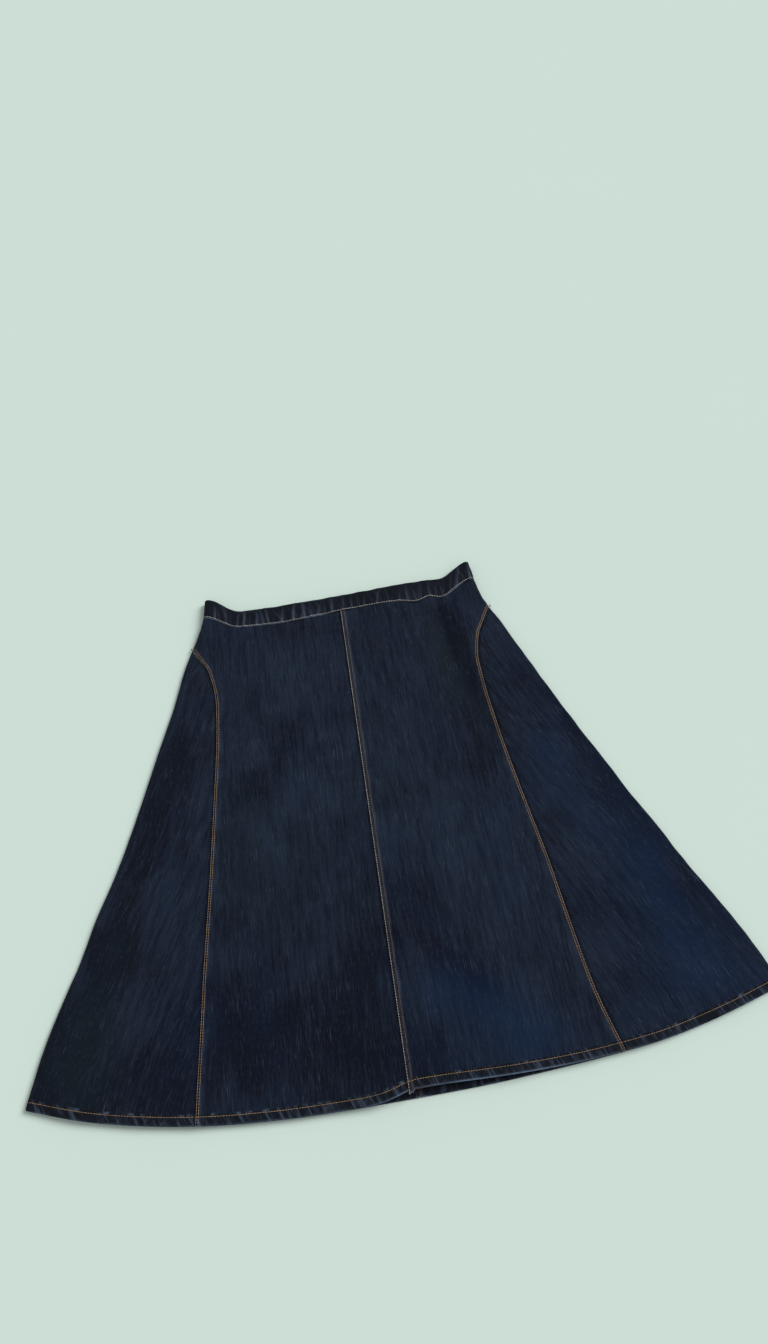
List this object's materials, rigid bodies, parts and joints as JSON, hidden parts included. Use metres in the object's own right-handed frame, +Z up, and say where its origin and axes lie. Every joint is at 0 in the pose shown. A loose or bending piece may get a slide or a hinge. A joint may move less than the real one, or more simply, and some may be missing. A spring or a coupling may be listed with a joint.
{
  "type": "denim skirt",
  "caption": "Gored A-line denim skirt with an elasticated waistband and contrast stitching, laid flat on its back.",
  "frame": {"origin": "centre of the laid skirt's outline, on the surface that it lies on", "axes": "+Y from the hem to the waistband, +Z up out of the front, +X towards the wearer's left, which is across the hem"},
  "size_m": [0.8594, 0.66, 0.0139],
  "materials": {
    "denim": "dark indigo slubbed denim twill",
    "band_denim": "dark indigo denim, puckered over elastic",
    "thread": "tan topstitching thread"
  },
  "bodies": {
    "root": {"waistband": "band_denim", "front_right": "denim", "front_left": "denim", "gore_right": "denim", "gore_left": "denim", "back_right": "denim", "back_left": "denim"}
  },
  "joints": []
}
